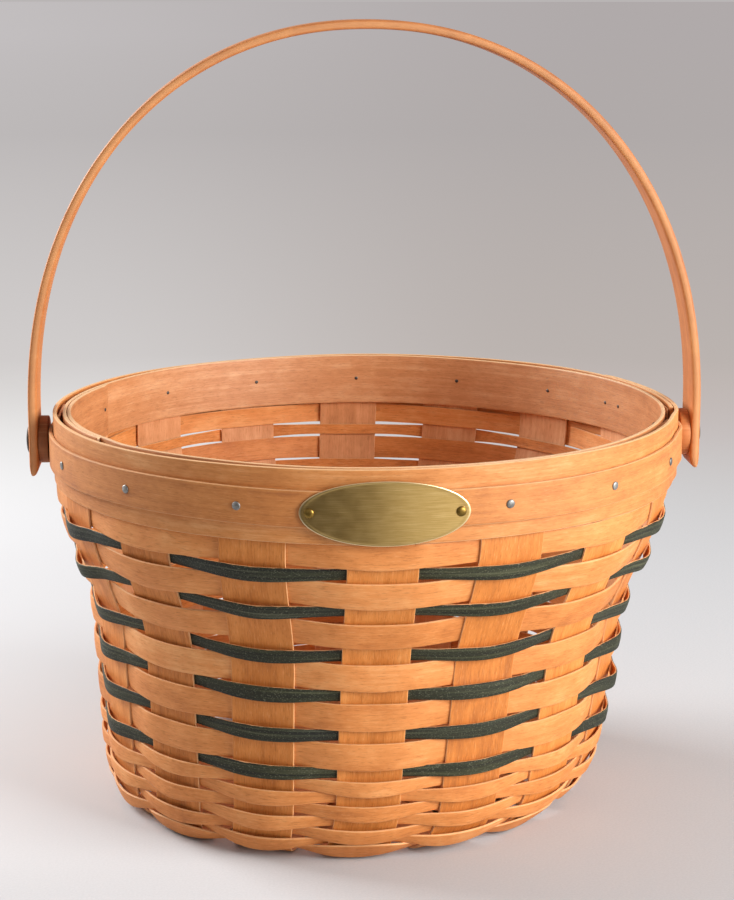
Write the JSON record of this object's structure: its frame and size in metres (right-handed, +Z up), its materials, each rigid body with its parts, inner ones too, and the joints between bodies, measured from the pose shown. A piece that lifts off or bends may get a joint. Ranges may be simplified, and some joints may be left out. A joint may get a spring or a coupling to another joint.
{
  "type": "apple basket",
  "caption": "Round woven wooden basket with a flared wall, green accent weave, a banded and tacked rim, and a bent-wood handle that swings on two side pivots.",
  "frame": {"origin": "on the surface it stands on, under the middle of the rim and handle", "axes": "+Z up, -Y towards the oval plate, X along the handle's pivots"},
  "size_m": [0.3544, 0.3297, 0.4016],
  "materials": {
    "splint_wood": "satin honey stain, fine grain",
    "weaver_wood": "satin honey stain, fine grain",
    "green_stain": "dark green stain, satin",
    "band_wood": "satin honey stain, fine grain",
    "handle_wood": "satin honey stain, fine grain",
    "spacer_wood": "satin, darker",
    "tack_steel": "plain steel",
    "rivet_bronze": "dark antique bronze",
    "plate_brass": "brushed brass"
  },
  "bodies": {
    "basket": {"splint_1": "splint_wood", "splint_2": "splint_wood", "splint_3": "splint_wood", "splint_4": "splint_wood", "splint_5": "splint_wood", "splint_6": "splint_wood", "splint_7": "splint_wood", "splint_8": "splint_wood", "wide_weaver_1": "weaver_wood", "wide_weaver_2": "weaver_wood", "wide_weaver_3": "weaver_wood", "wide_weaver_4": "weaver_wood", "wide_weaver_5": "weaver_wood", "wide_weaver_6": "weaver_wood", "narrow_weaver_1": "weaver_wood", "narrow_weaver_2": "weaver_wood", "narrow_weaver_3": "weaver_wood", "narrow_weaver_4": "weaver_wood", "narrow_weaver_5": "weaver_wood", "narrow_weaver_6": "weaver_wood", "narrow_weaver_7": "weaver_wood", "green_weaver_1": "green_stain", "green_weaver_2": "green_stain", "green_weaver_3": "green_stain", "green_weaver_4": "green_stain", "green_weaver_5": "green_stain", "green_weaver_6": "green_stain", "inner_band": "band_wood", "outer_band": "band_wood", "trim_band": "band_wood", "rim_tack_1": "tack_steel", "rim_tack_2": "tack_steel", "rim_tack_3": "tack_steel", "rim_tack_4": "tack_steel", "rim_tack_5": "tack_steel", "rim_tack_6": "tack_steel", "rim_tack_7": "tack_steel", "rim_tack_8": "tack_steel", "rim_tack_9": "tack_steel", "rim_tack_10": "tack_steel", "rim_tack_11": "tack_steel", "rim_tack_12": "tack_steel", "rim_tack_13": "tack_steel", "rim_tack_14": "tack_steel", "left_spacer": "spacer_wood", "right_spacer": "spacer_wood", "left_rivet": "rivet_bronze", "right_rivet": "rivet_bronze", "plate": "plate_brass", "plate_nail_1": "plate_brass", "plate_nail_2": "plate_brass"},
    "handle": {"handle": "handle_wood"}
  },
  "joints": [
    {"name": "handle_swing", "type": "hinge", "parent": "basket", "child": "handle", "pos_m": [0, 0, 0.1872], "axis": [1, 0, 0], "range_deg": [-130, 130]}
  ]
}
